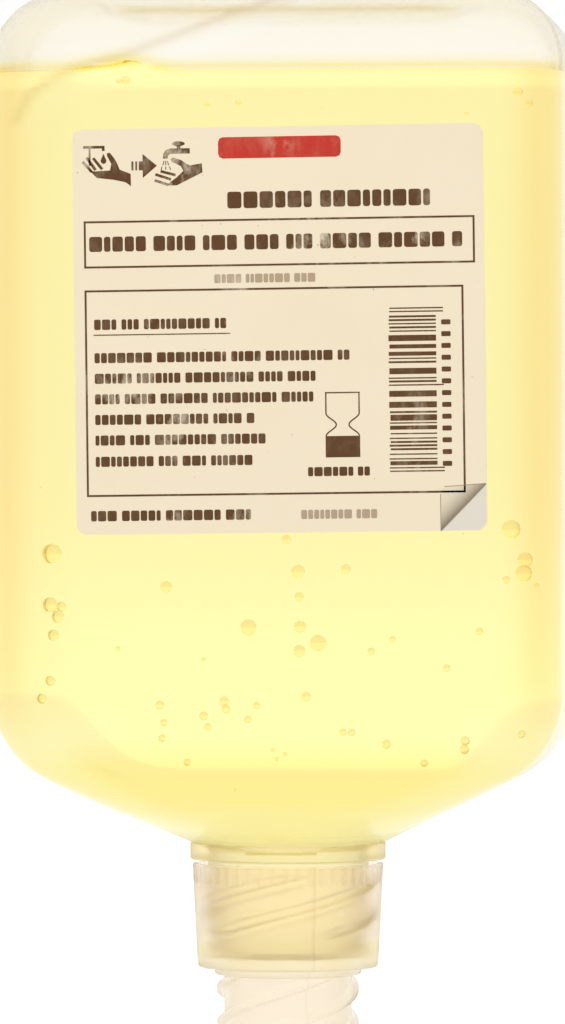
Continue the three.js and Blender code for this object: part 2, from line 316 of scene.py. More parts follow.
def makeFloor():
    deselectAll()
    place = (0, 0, stage['floorLevel'] * mm)
    bpy.ops.mesh.primitive_plane_add(size=stage['floorSize'], location=place)
    floor = bpy.context.object
    floor.name = 'paleFloor'
    material, tree, bsdf = startMaterial('floorWhite')
    bsdf.inputs['Base Color'].default_value = (*stage['floorColour'], 1)
    bsdf.inputs['Roughness'].default_value = stage['floorRoughness']
    bsdf.inputs['Emission Color'].default_value = (1, 1, 1, 1)
    glow = addNode(tree, 'ShaderNodeMath', operation='MULTIPLY')
    glow.inputs[1].default_value = stage['floorGlow']
    tree.links.new(seenDirectly(tree), glow.inputs[0])
    tree.links.new(glow.outputs[0], bsdf.inputs['Emission Strength'])
    setMaterial(floor, material)


def makeStage():
    scene = bpy.context.scene
    scene.view_settings.view_transform = 'Standard'
    scene.cycles.max_bounces = stage['lightBounces']
    scene.cycles.transmission_bounces = stage['lightBounces']
    scene.cycles.glossy_bounces = stage['lightBounces']
    makeCamera(scene)
    makeWorld(scene)
    makeLamps()
    makeFloor()
    print('stage set')


# bottle: lofted shell, one closed skin from the outside of the base round the lip to the inside

bottle = {
    'width': 87.04, 'depth': 56.5, 'baseTop': 163.5,
    'cornerRadius': 11.0, 'baseEdge': 11.5, 'wall': 1.0,
    'sideSlope': 25.9, 'sideBend': 15.0,
    'frontSlope': 26.5, 'frontBend': 8.0,
    'beadTop': 33.3, 'beadBottom': 30.6, 'beadRadius': 15.03, 'shoulderFoot': 14.88,
    'lip': 16.8, 'lipRadius': 11.7, 'neckTaper': 0.7, 'boreRadius': 10.2,
    'baseRing': 3.0, 'pushUpSlope': 4.0, 'pushUp': 2.0,
    'boreStart': 0.8, 'boreTop': 29.4, 'shoulderInside': 30.2,   # inside: the bore, then the shoulder
    'beadRound': 0.35, 'beadLift': 0.05, 'neckRound': 0.3, 'lipRound': 0.4, 'boreRound': 0.3,
    'partingRidge': 0.08, 'partingHalf': 0.2, 'partingReach': 0.4,
    'sideCuts': 16, 'frontCuts': 72, 'cornerCuts': 12, 'edgeCuts': 24, 'slopeCuts': 6,
    'shoulderStep': 0.9, 'bendStep': 1.0, 'wallStep': 3.4, 'topStep': 0.9, 'topBand': 24.0,
    'threadStep': 0.22, 'boreStep': 1.5,
    'middleScales': (0.8, 0.55, 0.3, 0.12, 0.0),
}
neckThread = {
    'lead': 21.4, 'starts': 4, 'base': 1.8, 'crest': 0.8, 'height': 0.85, 'from': 18.0, 'to': 27.9,
    'drop': 0.0, 'steepShare': 0.6,      # lean of the crests, and what the steep flank gets of it
}

# the fold that runs from the base down into the upper left of the front, as (x, z) in mm
fold = {
    'line': [(2.0, 162.2), (-10.6, 157.2), (-21.9, 152.9), (-28.4, 151.2),
             (-33.2, 149.4), (-36.6, 146.6), (-38.5, 143.0)],
    # the crease's painted shade spreads over shadeWidth
    'grooveDepth': 0.4, 'grooveWidth': 1.3, 'shadeWidth': 0.8,
    'dentDepth': 0.35, 'dentReach': 13.0,
    # painted highlight: the pale streak below the fold
    'paleAway': 3.0, 'paleWidth': 1.4,           # the pale streak below it
    'frontFrom': (6.0, 18.0), 'heightFrom': (138.0, 146.0),
}

# where the wall's colour changes by painted shade, painted highlights and the soap's film, and where its
# roughness changes: heights and lengths in mm, turns in degrees
zones = {
    # painted shade down the middle of the upright corners
    'cornerMiddle': 42.0, 'cornerSpread': (50.0, 22.0),      # towards the side, towards the front
    'cornerFrom': (46.0, 62.0), 'cornerEnd': 1.5, 'cornerBack': 0.3,
    # painted shade on the shoulder and bead; below neckEnd the neck turns rougher
    'shoulderEnd': (43.0, 50.0), 'beadFrom': (28.5, 30.0), 'beadEnd': 36.0, 'neckEnd': (34.0, 36.0),
    'dryRise': 3.0,
    # painted highlights: the two pale patches low on the front
    'paleAt': (33.0, 49.0), 'paleSize': (5.0, 4.0),          # two pale patches low on the front
    # painted shade along the top of the soap, and the soap's film above it
    'lineOver': 0.1, 'lineWidth': 0.9, 'filmWidth': 1.25, 'filmStart': -0.35,
    'backFade': 0.7, 'backFrom': (5.0, 20.0),
}


def wallSection(half, slopeDeg, bend):
    slope = math.radians(slopeDeg)
    corner = bottle['beadTop'] + (half - bottle['shoulderFoot']) * math.tan(slope)
    bendTop = corner + bend * math.tan((pi / 2 - slope) / 2)

    def halfAt(z, inset):
        low = bendTop - (bend - inset) * math.cos(slope)
        over = z - (bottle['baseTop'] - bottle['baseEdge'])
        if over > 0:
            turn = math.sqrt(max(0, (bottle['baseEdge'] - inset) ** 2 - over ** 2))
            return half - bottle['baseEdge'] + turn
        if z >= bendTop:
            return half - inset
        if z >= low:
            return half - bend + math.sqrt((bend - inset) ** 2 - (bendTop - z) ** 2)
        return half - bend + (bend - inset) * math.sin(slope) + (z - low) / math.tan(slope)
    return halfAt, bendTop


sideAt, sideBendTop = wallSection(bottle['width'] / 2, bottle['sideSlope'], bottle['sideBend'])
frontAt, frontBendTop = wallSection(bottle['depth'] / 2, bottle['frontSlope'], bottle['frontBend'])


def bodyAngles():
    # where round the section the columns of points run: close in the corners, wider on the flats
    a, b, r = bottle['width'] / 2, bottle['depth'] / 2, bottle['cornerRadius']
    quarter = [(a, y) for y in np.linspace(0, b - r, bottle['sideCuts'] // 2 + 1)[:-1]]
    for t in np.linspace(0, pi / 2, bottle['cornerCuts'] + 1)[:-1]:
        quarter.append((a - r + r * math.cos(t), b - r + r * math.sin(t)))
    quarter += [(x, b) for x in np.linspace(a - r, 0, bottle['frontCuts'] // 2 + 1)[:-1]]
    first = [math.atan2(y, x) for x, y in quarter]
    second = [pi - t for t in reversed(first[1:])]
    half = first + [pi / 2] + second
    return np.array(half + [t + pi for t in half])


columns = bodyAngles()
evenColumns = np.arange(len(columns)) * 2 * pi / len(columns)


def sectionRadius(angle, a, b, r):
    # distance from the axis to a rectangle with round corners, along each direction
    c, s = np.abs(np.cos(angle)), np.abs(np.sin(angle))
    cx, cy = a - r, b - r
    along = c * cx + s * cy
    corner = along + np.sqrt(np.maximum(0, along ** 2 - (cx ** 2 + cy ** 2 - r ** 2)))
    onSide = a / np.maximum(c, 1e-9)
    onFront = b / np.maximum(s, 1e-9)
    radius = np.where(onSide * s <= cy, onSide, corner)
    return np.where(onFront * c <= cx, onFront, radius)


def bodyRing(z, inset, foot):
    a = max(foot, sideAt(z, inset))
    b = max(foot, frontAt(z, inset))
    down = smoothStep(sideBendTop - z, 0, sideBendTop - bottle['beadTop'])
    turnIn = max(0, bottle['width'] / 2 - inset - a) if z > sideBendTop else 0
    r = (bottle['cornerRadius'] - inset - turnIn / 2) * (1 - down) + foot * down
    r = min(r, a - 0.01, b - 0.01)
    angle = columns * (1 - down) + evenColumns * down
    return ringAt(sectionRadius(angle, a, b, r), angle, z)


def baseRing(margin, z):
    a, b = bottle['width'] / 2 - margin, bottle['depth'] / 2 - margin
    return ringAt(sectionRadius(columns, a, b, min(bottle['cornerRadius'], b) / 2), columns, z)


def roundRing(radius, z):
    return ringAt(radius, evenColumns, z)


def arcRings(*arc):
    return [roundRing(r, z) for r, z in filletArc(*arc)]


def bodyHeights(inset, footHeight, top):
    edgeStart = bottle['baseTop'] - bottle['baseEdge']
    topBand = edgeStart - bottle['topBand']      # closer rings where the fold and the soap's edge are
    heights = steps(footHeight, frontBendTop, bottle['shoulderStep'])[:-1]
    heights += steps(frontBendTop, sideBendTop, bottle['bendStep'])[:-1]
    heights += steps(sideBendTop, topBand, bottle['wallStep'])[:-1]
    heights += steps(topBand, edgeStart, bottle['topStep'])[:-1]
    edge = bottle['baseEdge'] - inset
    heights += [edgeStart + edge * math.sin(t) for t in np.linspace(0, pi / 2, bottle['edgeCuts'] + 1)]
    return [z for z in heights if z <= top + 1e-6]


def baseRings(inset):
    top = bottle['baseTop'] - inset
    flat = bottle['baseEdge'] + bottle['baseRing']
    rings = [baseRing(flat, top)]
    for t in np.linspace(0, 1, bottle['slopeCuts'] + 1)[1:]:
        sunk = bottle['pushUp'] * float(smoothStep(t, 0, 1))
        rings.append(baseRing(flat + bottle['pushUpSlope'] * t, top - sunk))
    return rings + shrunkRings(rings[-1], bottle['middleScales'])


def shrunkRings(last, scales):
    # closes a surface to its middle
    rings = []
    for scale in scales:
        ring = last.copy()
        ring[:, :2] *= scale
        rings.append(ring)
    return rings


def foldDistance(x, z):
    # distance to the fold line in mm, and which side: positive towards the base corner
    best = np.full(x.shape, 1e9)
    side = np.zeros(x.shape)
    line = fold['line']
    for (x0, z0), (x1, z1) in zip(line, line[1:]):
        dx, dz = x1 - x0, z1 - z0
        t = np.clip(((x - x0) * dx + (z - z0) * dz) / (dx * dx + dz * dz), 0, 1)
        d = np.hypot(x - x0 - t * dx, z - z0 - t * dz)
        cross = dx * (z - z0) - dz * (x - x0)
        side = np.where(d < best, -np.sign(cross), side)
        best = np.minimum(best, d)
    return best, side


def pressFold(points):
    # pushes the front wall in along the fold, returns the painted shade of the fold and the painted highlight
    # of the pale streak beside it
    x, y, z = points.T / mm
    distance, side = foldDistance(x, z)
    front = smoothStep(-y, *fold['frontFrom']) * smoothStep(z, *fold['heightFrom'])
    groove = np.exp(-(distance / fold['grooveWidth']) ** 2)
    reach = np.clip(distance / fold['dentReach'], 0, 1)
    dent = np.where(side > 0, np.sin(pi * np.sqrt(reach)) * (1 - reach), 0)
    inward = front * (fold['grooveDepth'] * groove + fold['dentDepth'] * dent)
    points[:, 1] += inward * mm
    streak = np.exp(-((distance - fold['paleAway']) / fold['paleWidth']) ** 2)
    return front * np.exp(-(distance / fold['shadeWidth']) ** 2), front * np.where(side < 0, streak, 0)


def cornerShade(x, y, z):
    # painted shade, strongest along the middle of the upright corners, where the wall is seen edge on
    r = bottle['cornerRadius']
    overX, overY = np.abs(x) - (bottle['width'] / 2 - r), np.abs(y) - (bottle['depth'] / 2 - r)
    turn = np.degrees(np.arctan2(overY, np.maximum(overX, 1e-6))) - zones['cornerMiddle']
    inCorner = (overX > 0) & (z > bottle['beadTop'])
    band = np.exp(-(turn / np.where(turn < 0, *zones['cornerSpread'])) ** 2)
    level = soap['level']
    along = smoothStep(z, *zones['cornerFrom']) * fallStep(z, level, level + zones['cornerEnd'])
    return np.where(inCorner, band, 0) * along * np.where(y > 0, zones['cornerBack'], 1)


def paleShade(x, z):
    # painted highlight: pale patches where the lens of each lower corner of the front gathers light
    (atX, atZ), (sizeX, sizeZ) = zones['paleAt'], zones['paleSize']
    return np.exp(-((np.abs(x) - atX) / sizeX) ** 2 - ((z - atZ) / sizeZ) ** 2)


def soapEdge(x, y, inward=0.0):
    # how far above its level the soap stands near the wall, most where the fold draws it up
    aside = x - soap['climbAt']
    width = np.where(aside < 0, soap['climbWide'], soap['climbNarrow'])
    climb = soap['climb'] * np.exp(-(aside / width) ** 2)
    low = soap['meniscusHeight'] * math.exp(-inward / soap['meniscusReach'])
    return low + np.where(y < 0, climb, 0) * math.exp(-inward / soap['climbReach'])


def lineShade(x, y, z):
    # painted shade: the darker edge along the top of the soap, and the film it leaves above that, both weaker
    # at the back
    over = z - soap['level'] - soapEdge(x, y)
    weight = 1 - zones['backFade'] * smoothStep(y, *zones['backFrom'])
    edge = np.exp(-((over - zones['lineOver']) / zones['lineWidth']) ** 2)
    film = np.exp(-(np.maximum(over, 0) / zones['filmWidth']) ** 2) * smoothStep(over, zones['filmStart'], 0)
    return weight * edge, weight * film


def shadeBottle(piece, points, foldPaintedShade, streak):
    # the zones as attributes, which the plastic reads
    x, y, z = points.T / mm
    edge, film = lineShade(x, y, z)
    # painted shade along the fold's crease
    addAttribute(piece, 'foldShade', foldPaintedShade)
    # painted highlights: the pale streak by the fold and the pale patches low on the front
    addAttribute(piece, 'paleShade', np.maximum(streak, paleShade(x, z)))
    # painted shade down the upright corners
    addAttribute(piece, 'cornerShade', cornerShade(x, y, z))
    # painted shade along the soap's top edge
    addAttribute(piece, 'lineShade', edge)
    addAttribute(piece, 'filmShade', film)
    # painted shade: the shoulder, and faintly the bead, are tinted darker and more golden than the body;
    # above the soap the wall's inside scatters too
    shoulder = smoothStep(z, bottle['beadBottom'], bottle['beadTop']) * fallStep(z, *zones['shoulderEnd'])
    addAttribute(piece, 'shoulderShade', shoulder)
    bead = smoothStep(z, *zones['beadFrom']) * fallStep(z, bottle['beadTop'], zones['beadEnd'])
    addAttribute(piece, 'beadShade', bead)
    addAttribute(piece, 'neckShade', fallStep(z, *zones['neckEnd']))
    addAttribute(piece, 'dryShade', smoothStep(z, soap['level'], soap['level'] + zones['dryRise']))


def neckAt(z):
    share = (z - bottle['lip']) / (bottle['beadBottom'] - bottle['lip'])
    return bottle['lipRadius'] + bottle['neckTaper'] * share


def makeBottle():
    shape = bottle
    bead, lip, bore = shape['beadRound'], shape['lipRound'], shape['boreRound']
    foot = shape['beadBottom']
    rings = baseRings(0)[::-1]
    for z in reversed(bodyHeights(0, shape['beadTop'], shape['baseTop'])):
        rings.append(bodyRing(z, 0, shape['shoulderFoot']))
    # bead, neck with its thread, lip
    rings += arcRings(shape['beadRadius'] - bead, shape['beadTop'] - bead + shape['beadLift'], bead, 60, 0, 4)
    rings += arcRings(shape['beadRadius'] - bead, foot + bead, bead, 0, -90, 5)
    rings.append(roundRing(neckAt(foot) + shape['neckRound'], foot))
    for z in steps(foot - shape['neckRound'], shape['lip'] + lip, shape['threadStep']):
        rise = ridgeHeight(evenColumns, z, neckThread)
        rings.append(roundRing(neckAt(z) + neckThread['height'] * rise, z))
    rings += arcRings(shape['lipRadius'] - lip, shape['lip'] + lip, lip, -15, -90, 4)
    rings += arcRings(shape['boreRadius'] + bore, shape['lip'] + bore, bore, -90, -180, 3)
    # inside: bore, shoulder, wall, base
    for z in steps(shape['lip'] + shape['boreStart'], shape['boreTop'], shape['boreStep']):
        rings.append(roundRing(shape['boreRadius'], z))
    for z in bodyHeights(shape['wall'], shape['shoulderInside'], shape['baseTop'] - shape['wall']):
        rings.append(bodyRing(z, shape['wall'], shape['boreRadius']))
    rings += baseRings(shape['wall'])
    piece = rollGrid('bottleShell', rings, 50)

    points = readPoints(piece)
    foldPaintedShade, streak = pressFold(points)
    # the mould's parting line, down the middle of both sides
    onSide = np.abs(points[:, 0]) / mm > shape['width'] / 2 - shape['partingReach']
    onSide &= np.abs(points[:, 1]) / mm < shape['partingHalf']
    points[onSide, 0] += np.sign(points[onSide, 0]) * shape['partingRidge'] * mm
    putPoints(piece, points)
    shadeBottle(piece, points, foldPaintedShade, streak)
    setMaterial(piece, bottlePlastic())
    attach(piece, 'filled bottle')
    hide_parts('bottle')
    print('bottle', len(piece.data.vertices), 'points')


bottleLook = {
    'colour': (1, 0.985, 0.94),
    # what each zone is multiplied by: painted shade on the shoulder, bead, corners, the soap's edge and the
    # fold, painted highlights on the pale spots, and the soap's film
    'shoulderTint': (1, 0.975, 0.84), 'beadTint': (1, 1, 0.99), 'cornerTint': (0.99, 0.88, 0.74),
    'lineTint': (0.975, 0.925, 0.97), 'filmTint': (1, 0.96, 0.45),
    # foldTint is the fold's painted shade, paleTint lightens for the painted highlights
    'foldTint': (0.9, 0.86, 0.8), 'paleTint': (1, 1.012, 1.055),
    'dirtColour': (0.3, 0.2, 0.1), 'dirtScale': 120, 'dirtSize': 0.018,
    'roughness': 0.15, 'dryRoughness': 0.19, 'neckRoughness': 0.18,   # neckRoughness is added in the neck
    'ior': 1.18,
    'absorb': (1.0, 0.8, 0.1), 'density': 30.0,
    'streakScale': 70, 'streakStretch': (1, 1, 0.25), 'streakBump': (0.1, 0.0006),
    'cloudScale': 22, 'cloudRoughness': (-0.03, 0.04),
}


def bottlePlastic():
    look = bottleLook
    material, tree, bsdf = startMaterial('bottlePlastic')
    bsdf.inputs['Transmission Weight'].default_value = 1.0
    bsdf.inputs['IOR'].default_value = look['ior']
    streaks = noiseAt(tree, objectSpot(tree, look['streakStretch']), look['streakScale'], 1)
    cloud = noiseAt(tree, objectSpot(tree), look['cloudScale'], 1)
    tinted = look['colour']
    # painted shade and painted highlights laid over the plastic's colour zone by zone, with the soap's film
    for zone in ('shoulder', 'bead', 'corner', 'line', 'film', 'fold', 'pale'):
        tinted = mixColour(tree, attributeOf(tree, zone + 'Shade'), tinted, look[zone + 'Tint'], 'MULTIPLY')
    specks = speckMask(tree, objectSpot(tree), look['dirtScale'], look['dirtSize'])
    tree.links.new(mixColour(tree, specks, tinted, look['dirtColour']), bsdf.inputs['Base Color'])
    satin = rangeOf(tree, attributeOf(tree, 'dryShade'), 0, 1, look['roughness'], look['dryRoughness'])
    satin = addUp(tree, satin, rangeOf(tree, cloud, *noiseSpread, *look['cloudRoughness']))
    satin = addUp(tree, satin, rangeOf(tree, attributeOf(tree, 'neckShade'), 0, 1, 0, look['neckRoughness']))
    tree.links.new(satin, bsdf.inputs['Roughness'])
    bumpFrom(tree, bsdf, streaks, *look['streakBump'])
    addAbsorption(tree, look['absorb'], look['density'])
    return material


# soap: fills the shell, wetting the wall, with a meniscus at its edge

soap = {
    'level': 150.3, 'wet': 0.2, 'bottom': 17.0,
    'meniscusHeight': 0.3, 'meniscusReach': 1.5,
    # where the fold draws it up
    'climb': 1.4, 'climbReach': 5.0, 'climbAt': -21.9, 'climbWide': 6.0, 'climbNarrow': 5.0,
    'footScales': (0.0, 0.35, 0.7, 0.97), 'footRound': 0.3, 'neckStep': 2.0, 'underLevel': 1.0,
    'inwardSteps': (0.0, 0.15, 0.4, 0.8, 1.3, 2.0, 3.0, 4.2, 6.0, 8.5, 12.0),
    'middleScales': (0.7, 0.4, 0.15, 0.0),
}
soapLook = {
    'colour': (1, 1, 0.992), 'swirlColour': (1, 0.999, 0.978), 'ior': 1.2,
    'absorb': (1.0, 0.938, 0.03), 'density': 12.9,
    'swirlScale': 14, 'swirlStretch': (1, 1, 0.5), 'swirlSpread': (0.35, 0.65), 'roughness': 0.0,
}


def makeSoap():
    inset = bottle['wall'] - soap['wet']
    foot = bottle['boreRadius'] + soap['wet']
    rings = [roundRing(foot * scale, soap['bottom']) for scale in soap['footScales']]
    for z in steps(soap['bottom'] + soap['footRound'], bottle['boreTop'], soap['neckStep']):
        rings.append(roundRing(foot, z))
    for z in bodyHeights(inset, bottle['shoulderInside'], soap['level'] - soap['underLevel']):
        rings.append(bodyRing(z, inset, foot))
    rim = bodyRing(soap['level'], inset, foot)
    reach = np.hypot(rim[:, 0], rim[:, 1])
    for inward in soap['inwardSteps']:
        ring = rim.copy()
        ring[:, :2] *= ((reach - inward) / reach)[:, None]
        ring[:, 2] += soapEdge(rim[:, 0], rim[:, 1], inward)
        rings.append(ring)
    middle = shrunkRings(rings[-1], soap['middleScales'])
    for ring in middle:
        ring[:, 2] = soap['level']
    piece = rollGrid('soapLiquid', rings + middle, 60)
    points = readPoints(piece)
    pressFold(points)
    putPoints(piece, points)
    material, tree, bsdf = startMaterial('yellowSoap')
    swirl = noiseAt(tree, objectSpot(tree, soapLook['swirlStretch']), soapLook['swirlScale'], 1)
    swirl = rangeOf(tree, swirl, *soapLook['swirlSpread'], 0, 1)
    cloudy = mixColour(tree, swirl, soapLook['colour'], soapLook['swirlColour'])
    tree.links.new(cloudy, bsdf.inputs['Base Color'])
    bsdf.inputs['Transmission Weight'].default_value = 1.0
    bsdf.inputs['IOR'].default_value = soapLook['ior']
    bsdf.inputs['Roughness'].default_value = soapLook['roughness']
    addAbsorption(tree, soapLook['absorb'], soapLook['density'])
    setMaterial(piece, material)
    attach(piece, 'filled bottle')
    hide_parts('soap')
    print('soap', len(piece.data.vertices), 'points')


# air bubbles that cling behind the front wall: (x, z, diameter) in mm

bubbles = {
    'spots': [
        (-33.1, 77.7, 2.4), (-33.4, 70.0, 1.8), (-31.6, 69.7, 1.2), (-32.3, 68.2, 1.5), (-32.8, 65.4, 1.4),
        (-33.5, 58.5, 1.2), (-34.6, 55.8, 1.2), (-15.7, 72.7, 1.4), (4.2, 75.0, 1.7), (11.5, 75.4, 1.2),
        (2.4, 79.8, 1.2), (4.5, 71.2, 1.2), (4.4, 66.7, 1.5), (-3.3, 66.6, 2.0), (7.3, 64.3, 2.0),
        (4.4, 63.1, 1.5), (36.1, 81.4, 2.2), (37.9, 76.8, 1.8), (37.9, 74.8, 2.0), (35.3, 73.8, 0.9),
        (31.6, 66.1, 0.9), (18.6, 64.9, 0.8), (15.3, 63.1, 0.9), (26.7, 60.6, 0.9), (5.4, 56.2, 1.2),
        (-6.9, 55.5, 1.2), (-6.8, 54.3, 1.1), (-2.0, 54.9, 0.9), (-10.0, 53.3, 1.1), (-9.4, 51.7, 0.9),
        (-3.3, 52.8, 0.9), (-16.8, 54.9, 1.1), (-16.0, 52.3, 0.9), (-16.5, 49.9, 0.9), (-12.5, 46.3, 0.9),
        (0.5, 48.2, 0.5), (2.3, 47.6, 0.5), (1.1, 46.9, 0.5), (11.0, 50.9, 0.9), (12.4, 50.9, 0.9),
        (17.5, 49.1, 1.1), (23.3, 46.3, 0.9), (29.5, 49.7, 1.1), (29.3, 48.4, 1.1), (37.6, 50.8, 0.9),
        (-23.1, 63.4, 0.6), (-10.0, 61.8, 0.6), (39.4, 72.9, 0.6), (-21.8, 149.1, 1.1), (-22.8, 148.9, 0.8),
        (-4.8, 145.6, 0.9), (-9.5, 145.3, 0.8), (37.0, 147.1, 1.1), (38.7, 145.4, 0.9), (29.6, 143.9, 0.6),
    ],
    'depths': (0.5, 1.1, 0.7, 1.8, 0.4, 2.6, 0.9),   # mm of soap in front of each, in turn
    # rimColour is painted shade at each bubble's edge
    'rimColour': (0.96, 0.85, 0.56), 'midColour': (0.985, 0.92, 0.72), 'ior': 0.94, 'roughness': 0.2,
    'rimBlend': 0.35,
    'swell': 1.25,           # the wall blurs them, so they look smaller than they are
}


def frontInside(x, z):
    # how far the inside of the front wall stands out at this spot
    a, b = sideAt(z, bottle['wall']), frontAt(z, bottle['wall'])
    r = bottle['cornerRadius'] - bottle['wall']
    over = max(0, abs(x) - (a - r))
    return b - r + math.sqrt(max(0, r * r - min(over, r) ** 2))


def makeBubbles():
    # an empty mesh, to which each bubble is added in edit mode
    deselectAll()
    bpy.ops.mesh.primitive_ico_sphere_add(subdivisions=1, radius=mm, location=(0, 0, 0))
    piece = bpy.context.object
    piece.name = piece.data.name = 'soapBubbles'
    bpy.ops.object.mode_set(mode='EDIT')
    bpy.ops.mesh.select_all(action='SELECT')
    bpy.ops.mesh.delete(type='VERT')
    for count, (x, z, diameter) in enumerate(bubbles['spots']):
        radius = diameter / 2 * bubbles['swell']
        depth = bubbles['depths'][count % len(bubbles['depths'])]
        place = (x * mm, -(frontInside(x, z) - radius - depth) * mm, z * mm)
        bpy.ops.mesh.primitive_ico_sphere_add(subdivisions=3, radius=radius * mm, location=place)
    bpy.ops.object.mode_set(mode='OBJECT')
    cleanUp(piece, 80)
    material, tree, bsdf = startMaterial('bubbleAir')
    # painted shade: a darker amber rim where each bubble is seen edge on
    rim = addNode(tree, 'ShaderNodeLayerWeight', {'Blend': bubbles['rimBlend']}).outputs['Facing']
    amber = mixColour(tree, rim, bubbles['midColour'], bubbles['rimColour'])
    tree.links.new(amber, bsdf.inputs['Base Color'])
    bsdf.inputs['Transmission Weight'].default_value = 1.0
    bsdf.inputs['IOR'].default_value = bubbles['ior']
    bsdf.inputs['Roughness'].default_value = bubbles['roughness']
    setMaterial(piece, material)
    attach(piece, 'filled bottle')
    print('bubbles', len(bubbles['spots']))


# label: paper sheet, then its print as thin fields of ink in the label's own millimetres

label = {
    'width': 62.0, 'height': 61.0, 'corner': 1.6, 'thickness': 0.1,
    'x': 1.65, 'z': 111.4, 'tilt': 0.7, 'back': -28.265,   # a hair off the wall, so that light gets behind it
    'edgeLoop': 0.25, 'inkLift': 0.012, 'inkThickness': 0.012,
    'paper': (0.858, 0.752, 0.565), 'stain': (0.8, 0.685, 0.48), 'speck': (0.2, 0.12, 0.06),
    'ink': (0.113, 0.054, 0.022), 'faintInk': (0.44, 0.34, 0.23), 'red': (0.53, 0.045, 0.028),
    'cornerGrey': (0.74, 0.69, 0.6), 'cornerLine': (0.3, 0.24, 0.17),
    'flapPale': (0.76, 0.67, 0.5), 'flapDark': (0.2, 0.15, 0.1),
    'flapFrom': -0.0608, 'flapTo': -0.0553, 'flapPower': 2.2,
    'stainScale': 60, 'stainSpread': (0.5, 0.85), 'stainMost': 0.3, 'speckScale': 300, 'speckSize': 0.04,
    'fibreScale': 900, 'fibreBump': (0.15, 0.00004), 'paperRoughness': (0.5, 0.62), 'paperSpecular': 0.25,
    'scratchScale': 330, 'scratchSpread': (0.48, 0.66), 'scratchStretch': (1.3, 1, 0.7),
    'scratchBump': (0.1, 0.00003), 'patchScale': 75, 'patchSpread': (0.5, 0.75),
    'leastWear': 0.05, 'inkWear': 0.9, 'redWear': 0.7, 'greyWear': 0.2, 'lineWear': 0.3,
    'inkRoughness': 0.55, 'inkSpecular': 0.12,
}


def toLabel(points):
    # from the label's own plane (u right, v up, w out of the paper) to its place on the front
    turn = math.radians(label['tilt'])
    u, v, w = points[:, 0], points[:, 1], points[:, 2]
    return np.stack([label['x'] + u * math.cos(turn) - v * math.sin(turn),
                     label['back'] - w,
                     label['z'] + u * math.sin(turn) + v * math.cos(turn)], axis=1) * mm


def makeLabel():
    deselectAll()
    bpy.ops.mesh.primitive_plane_add(size=1, location=(0, 0, 0))
    piece = bpy.context.object
    piece.name = piece.data.name = 'labelPaper'
    putPoints(piece, readPoints(piece) * (label['width'], label['height'], 1))
    editAll(piece)
    bpy.ops.mesh.bevel(offset=label['corner'], segments=8, affect='VERTICES')
    bpy.ops.mesh.select_all(action='SELECT')
    bpy.ops.mesh.inset(thickness=label['edgeLoop'], depth=0)
    bpy.ops.object.mode_set(mode='OBJECT')
    solid = piece.modifiers.new('paper', 'SOLIDIFY')
    solid.thickness = label['thickness']
    solid.offset = 1
    applyAll(piece)
    putPoints(piece, toLabel(readPoints(piece)))
    cleanUp(piece, 30)
    setMaterial(piece, labelPaper())
    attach(piece, 'filled bottle')
    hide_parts('label')
    print('label', len(piece.data.vertices), 'points')


def labelPaper():
    material, tree, bsdf = startMaterial('labelPaper')
    spot = objectSpot(tree)
    cloud = noiseAt(tree, spot, label['stainScale'], 4)
    fibre = noiseAt(tree, spot, label['fibreScale'], 3)
    stains = rangeOf(tree, cloud, *label['stainSpread'], 0, label['stainMost'])
    stained = mixColour(tree, stains, label['paper'], label['stain'])
    specks = speckMask(tree, spot, label['speckScale'], label['speckSize'])
    tree.links.new(mixColour(tree, specks, stained, label['speck']), bsdf.inputs['Base Color'])
    tree.links.new(rangeOf(tree, cloud, *noiseSpread, *label['paperRoughness']), bsdf.inputs['Roughness'])
    bsdf.inputs['Specular IOR Level'].default_value = label['paperSpecular']
    bumpFrom(tree, bsdf, fibre, *label['fibreBump'])
    return material


def wornInk(name, colour, wear):
    material, tree, bsdf = startMaterial(name)
    spot = objectSpot(tree, label['scratchStretch'])
    scratch = noiseAt(tree, spot, label['scratchScale'], 5, 0.7)
    patch = noiseAt(tree, spot, label['patchScale'], 2)
    spotted = addNode(tree, 'ShaderNodeMath', operation='MULTIPLY')
    tree.links.new(rangeOf(tree, scratch, *label['scratchSpread'], 0, 1), spotted.inputs[0])
    worn = rangeOf(tree, patch, *label['patchSpread'], label['leastWear'], wear)
    tree.links.new(worn, spotted.inputs[1])
    tree.links.new(mixColour(tree, spotted.outputs[0], colour, label['paper']), bsdf.inputs['Base Color'])
    bsdf.inputs['Roughness'].default_value = label['inkRoughness']
    bsdf.inputs['Specular IOR Level'].default_value = label['inkSpecular']
    bumpFrom(tree, bsdf, scratch, *label['scratchBump'])
    return material


def boxOutline(u0, v0, u1, v1):
    return [(u0, v0), (u1, v0), (u1, v1), (u0, v1)]


def frameOutlines(u0, v0, u1, v1, line):
    return [boxOutline(u0, v0, u1, v0 + line), boxOutline(u0, v1 - line, u1, v1),
            boxOutline(u0, v0 + line, u0 + line, v1 - line), boxOutline(u1 - line, v0 + line, u1, v1 - line)]


def stroke(points, width):
    # a bent line of even width, one quad for each stretch
    quads = []
    for (u0, v0), (u1, v1) in zip(points, points[1:]):
        length = math.hypot(u1 - u0, v1 - v0)
        nu, nv = -(v1 - v0) / length * width / 2, (u1 - u0) / length * width / 2
        quads.append([(u0 + nu, v0 + nv), (u0 - nu, v0 - nv), (u1 - nu, v1 - nv), (u1 + nu, v1 + nv)])
    return quads


def roundBar(u0, v0, u1, v1, radius):
    # a bar with rounded corners
    outline = []
    for cu, cv, start in ((u1 - radius, v0 + radius, -90), (u1 - radius, v1 - radius, 0),
                          (u0 + radius, v1 - radius, 90), (u0 + radius, v0 + radius, 180)):
        outline += filletArc(cu, cv, radius, start, start + 90, 2)
    return outline


